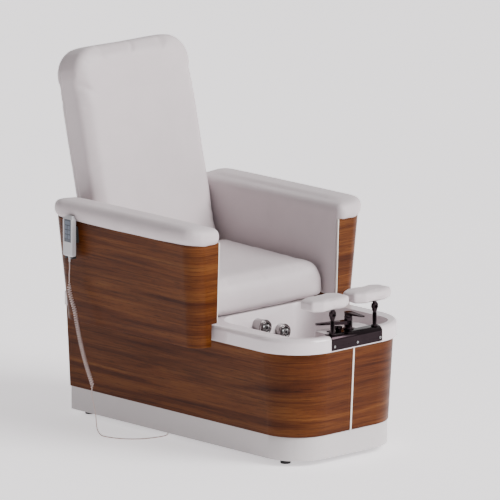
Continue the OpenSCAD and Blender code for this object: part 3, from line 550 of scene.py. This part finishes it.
def refine(obj):
    """One subdivision, applied."""
    finer = obj.modifiers.new("refine", "SUBSURF")
    finer.levels = 1
    finer.render_levels = 1
    apply_modifiers(obj)


def finish_soft(obj, body, *nodes, fill):
    """Material, and what the piece stands for and rides on."""
    paint(obj, LEATHER)
    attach(obj, body)
    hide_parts(*nodes)


def arc(cx, cy, radius, start, end, steps):
    """Points of an arc in a plane, angles in degrees."""
    points = []
    for k in range(steps + 1):
        turn = math.radians(start + (end - start) * k / steps)
        points.append((cx + radius * math.cos(turn), cy + radius * math.sin(turn)))
    return points


# ---- backrest: one stuffed form, parted into cushion and rear shell along its seam ----
BACK_FOOT = (0, 0.3644, 0.606)
BACK_LEAN = math.radians(-13.2)
BACK_PLACE = Matrix.Translation(BACK_FOOT) @ Matrix.Rotation(BACK_LEAN, 4, "X")
BACK_LONG = 0.786
BACK_THICK = 0.141
BACK_SEAM = 0.104
BACK_CORNER = 0.106
BACK_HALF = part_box("back_cushion")[1].x
BACK_EDGE = 0.030
BACK_CROWN = 0.010
BACK_SWELL = 0.014
SEAM_DEPTH = 0.0016
SEAM_WIDTH = 0.004


def back_balls():
    """Balls of the back's form: two rounded corners at the top, a level foot."""
    arc_x = BACK_HALF - BACK_CORNER
    arc_z = BACK_LONG - BACK_CORNER
    outline = arc(arc_x, arc_z, BACK_CORNER - BACK_EDGE, 0, 90, 5)
    outline.append((BACK_HALF - BACK_EDGE, BACK_EDGE * 0.7))
    balls = []
    for depth in (BACK_CROWN + BACK_EDGE, BACK_THICK - BACK_EDGE):
        for x, z in outline:
            balls.append((x, depth, z, BACK_EDGE))
            balls.append((-x, depth, z, BACK_EDGE))
    return balls


def sink_seam(obj):
    """Draws the skin in round the plane where cushion and shell are sewn together."""
    for vertex, normal in zip(obj.data.vertices, obj.data.vertex_normals):
        off = (vertex.co.y - BACK_SEAM) / SEAM_WIDTH
        vertex.co -= normal.vector * SEAM_DEPTH * math.exp(-off * off)


def half_of(obj, name, keep_front):
    """Copy of obj on one side of the seam plane, closed over the cut."""
    mesh = bmesh.new()
    mesh.from_mesh(obj.data)
    bmesh.ops.bisect_plane(mesh, geom=mesh.verts[:] + mesh.edges[:] + mesh.faces[:],
                           plane_co=(0, BACK_SEAM, 0), plane_no=(0, 1, 0),
                           clear_outer=keep_front, clear_inner=not keep_front)
    rim = [e for e in mesh.edges if e.is_boundary]
    filled = bmesh.ops.holes_fill(mesh, edges=rim)
    bmesh.ops.triangulate(mesh, faces=filled["faces"])
    data = bpy.data.meshes.new(name)
    mesh.to_mesh(data)
    mesh.free()
    data.shade_smooth()
    part = bpy.data.objects.new(name, data)
    bpy.context.scene.collection.objects.link(part)
    return part


def add_back():
    """Cushion and shell of the backrest, leaning as the chair's back does."""
    whole = soft_body("back_form", [ball_hull(back_balls())], CELL)
    inflate(whole, BACK_SWELL, room=(0.0, 1.0, 0.1))
    refine(whole)
    sink_seam(whole)
    cushion = half_of(whole, "back_cushion_leather", True)
    shell_part = half_of(whole, "back_shell_leather", False)
    bpy.data.objects.remove(whole)
    for part, node in ((cushion, "back_cushion"), (shell_part, "back_shell")):
        part.data.transform(BACK_PLACE)
        finish_soft(part, "backrest", node, fill=0.8)


# ---- seat ----
def add_seat():
    """Seat cushion with its front apron, rolled over at the front."""
    low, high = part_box("seat_cushion")
    half = high.x
    roll = 0.042
    hem = 0.018
    edge = 0.026
    rear_rise = 0.010
    apron_depth = 0.024
    under_z = 0.540
    under_y = low.y + 0.060
    swell = 0.014
    front = []
    top = []
    for side in (-1, 1):
        front.append((side * (half - roll), low.y + roll, high.z - roll, roll))
        front.append((side * (half - hem), low.y + hem, under_z, hem))
        for depth in (hem, apron_depth):
            front.append((side * (half - hem), low.y + depth, low.z + hem, hem))
        top.append((side * (half - roll), low.y + roll, high.z - roll, roll))
        top.append((side * (half - edge), high.y - edge, high.z + rear_rise - edge, edge))
        top.append((side * (half - edge), high.y - edge, under_z, edge))
        top.append((side * (half - edge), under_y, under_z, edge))
    seat = soft_body("seat_leather", [ball_hull(top), ball_hull(front)], CELL)
    inflate(seat, swell, room=(0.0, 0.4, 1.0))
    refine(seat)
    finish_soft(seat, "seat", "seat_cushion", fill=0.75)


# ---- arms ----
def add_arm(side, name):
    """Padded arm top whose cover runs down the inner face without a break."""
    low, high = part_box(f"{name}_arm_bolster")
    inner_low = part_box(f"{name}_inner_pad")[0]
    panel_low, panel_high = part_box(f"{name}_arm_panel")
    inner = min(abs(low.x), abs(high.x))
    outer = max(abs(low.x), abs(high.x))
    radius = 0.029
    tuck = 0.006
    crown = 0.002
    corner = 0.073
    outline = arc(outer - corner, low.y + corner, corner - radius, -90, 0, 4)
    outline += arc(outer - corner, high.y - corner, corner - radius, 0, 90, 4)
    outline += [(inner + radius, high.y - radius), (inner + radius, low.y + radius)]
    top = []
    for x, y in outline:
        top.append((side * x, y, low.z - tuck + radius, radius))
        top.append((side * x, y, high.z - crown - radius, radius))
    swell = 0.006
    thin = 0.009
    flush = 0.003
    proud = 0.001
    front_foot_in = 0.011
    rear_foot_in = 0.014
    rear_foot_z = 0.501
    join_z = high.z - 0.047
    face = []
    for y, z in ((panel_low.y + front_foot_in, inner_low.z),
                 (panel_high.y - rear_foot_in, rear_foot_z),
                 (panel_low.y, join_z), (panel_high.y, join_z)):
        inward = flush + thin if y < 0 else -flush - thin
        face.append((side * (inner + thin + proud), y + inward, z + thin, thin))
    arm = soft_body(f"{name}_arm_leather", [ball_hull(top), ball_hull(face)], CELL)
    inflate(arm, swell, room=(0.0, 0.1, 1.0))
    refine(arm)
    finish_soft(arm, "seat", f"{name}_arm_bolster", f"{name}_inner_pad", fill=0.7)


# ---- foot pads ----
def add_foot_pad(name):
    """Flat cushion with its four corners cut off."""
    low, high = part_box(f"{name}_foot_pad")
    centre = (low + high) / 2
    half_w = (high.x - low.x) / 2
    half_d = (high.y - low.y) / 2
    radius = 0.010
    cut_w = 0.043
    cut_d = 0.028
    swell = 0.003
    balls = []
    for sx in (-1, 1):
        for sy in (-1, 1):
            for x, y in ((half_w - cut_w, half_d - radius), (half_w - radius, half_d - cut_d)):
                for z in (low.z + radius, high.z - radius):
                    balls.append((centre.x + sx * x, centre.y + sy * y, z, radius))
    pad = soft_body(f"{name}_foot_pad_leather", [ball_hull(balls)], SMALL_CELL)
    inflate(pad, swell)
    refine(pad)
    finish_soft(pad, f"{name}_footrest", f"{name}_foot_pad", fill=0.85)


add_back()
add_seat()
add_arm(-1, "right")
add_arm(1, "left")
add_foot_pad("right")
add_foot_pad("left")


# ---- trims and small hardware ----
def add_edge_beads():
    """Pale bead down the inner edge of each arm panel, front and rear."""
    radius = 0.0032
    steps = 12
    # How far the panel's edges lean inward from its top to its foot
    front_lean = 0.014
    rear_lean = 0.019
    pad_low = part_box("left_inner_pad")[0]
    for name, side in (("right", -1), ("left", 1)):
        low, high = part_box(f"{name}_arm_panel")
        x = side * (pad_low.x + radius)
        share = (high.z - pad_low.z) / (high.z - low.z)
        for end, top_y, lean in (("front", low.y, front_lean), ("rear", high.y, -rear_lean)):
            inward = radius if end == "front" else -radius
            foot = Vector((x, top_y + inward + lean * share, pad_low.z))
            top = Vector((x, top_y + inward, high.z))
            path = [foot.lerp(top, k / steps) for k in range(steps + 1)]
            bead = tube(f"{name}_{end}_bead", path, radius, 12)
            paint(bead, TRIM)
            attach(bead, "seat")


def add_jet_rings():
    """Bright stepped rings on the mouth of each jet."""
    set_back = 0.005
    rings = [(0.0255, 0.0016), (0.0205, 0.0012)]
    for name in ("right", "left"):
        low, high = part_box(f"{name}_jet_nozzle")
        centre = (low + high) / 2
        mouth_y = low.y + set_back
        for index, (radius, thick) in enumerate(rings):
            ring = [(centre.x + x, mouth_y, centre.z + z)
                    for x, z in arc(0, 0, radius, 0, 360, 48)]
            piece = tube(f"{name}_jet_ring_{index + 1}", ring, thick, 8)
            paint(piece, CHROME)
            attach(piece, "cabinet")


def add_screw_socket_shade():
    """Dark hexagons on the heads of the saddle's screws: painted shade, standing in for the shade
    down in each hex socket.
    """
    low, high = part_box("bridge_screws")
    head_r = 0.0045
    proud = 0.0002
    for index, x in enumerate((low.x + head_r, 0.0, high.x - head_r)):
        centre = (x, low.y - proud, (low.z + high.z) / 2)
        profile = [(0.0022, 0.0), (0.0018, 0.0012), (0.0006, 0.0016)]
        socket = lathe(f"screw_socket_shade_{index + 1}", profile, centre, (0, 1, 0), 6)
        # Black here is painted shade for the socket's hollow, not the colour of the steel screw.
        paint(socket, BLACK)
        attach(socket, "cabinet")


dress_nodes()
paint(CURLY_CORD, CORD_SKIN)
paint(PLAIN_CORD, CORD_SKIN)
add_edge_beads()
add_jet_rings()
add_screw_socket_shade()


# ---- floor, backdrop and light ----
def add_stage():
    """Plain pale floor that reaches to the horizon, slightly self-lit like a lit backdrop."""
    reach = 60
    corners = [(-reach, -reach, 0), (reach, -reach, 0), (reach, reach, 0), (-reach, reach, 0)]
    floor = new_object("floor", corners, [(0, 1, 2, 3)])
    material, tree, shader = start_material("floor", 0.9, specular=0.1)
    tone = ramp(tree, stretched(tree, (0.4, 0.4, 0.4), detail=2.0),
                [(0.3, (0.90, 0.88, 0.885)), (0.7, (0.93, 0.905, 0.915))])
    tree.links.new(tone, shader.inputs["Base Color"])
    shader.inputs["Emission Color"].default_value = (1.0, 0.955, 0.975, 1.0)
    shader.inputs["Emission Strength"].default_value = 0.85
    paint(floor, material)


def add_light(name, kind, energy, place, aim, size):
    """Sun of an angular size, or a rectangular box of a width and height."""
    data = bpy.data.lights.new(name, kind)
    data.energy = energy
    if kind == "SUN":
        data.angle = size
    else:
        data.shape = "RECTANGLE"
        data.size, data.size_y = size
    light = bpy.data.objects.new(name, data)
    bpy.context.scene.collection.objects.link(light)
    light.location = place
    light.rotation_euler = (Vector(aim) - Vector(place)).to_track_quat("-Z", "Y").to_euler()


def add_lights():
    """Soft studio light, brighter on the sitter's left."""
    world = bpy.data.worlds.new("studio")
    bpy.context.scene.world = world
    world.use_nodes = True
    tree = world.node_tree
    background = tree.nodes["Background"]
    background.inputs["Color"].default_value = (1.0, 0.975, 0.985, 1.0)
    coords = wire(tree, "ShaderNodeTexCoord")
    parts = wire(tree, "ShaderNodeSeparateXYZ", {"Vector": coords.outputs["Generated"]})
    strength = wire(tree, "ShaderNodeMapRange",
                    {"Value": parts.outputs["X"], "From Min": -0.8, "From Max": 0.8,
                     "To Min": 0.04, "To Max": 0.75})
    tree.links.new(strength.outputs["Result"], background.inputs["Strength"])
    add_light("key", "SUN", 3.7, (2.2, -6.0, 5.0), (0, 0, 0.5), math.radians(35))
    add_light("front_box", "AREA", 26, (1.6, -3.4, 2.2), (0, -0.3, 0.5), (1.6, 2.2))
    add_light("side_box", "AREA", 2, (-3.6, -1.2, 1.8), (0, -0.2, 0.5), (0.6, 2.2))


add_stage()
add_lights()
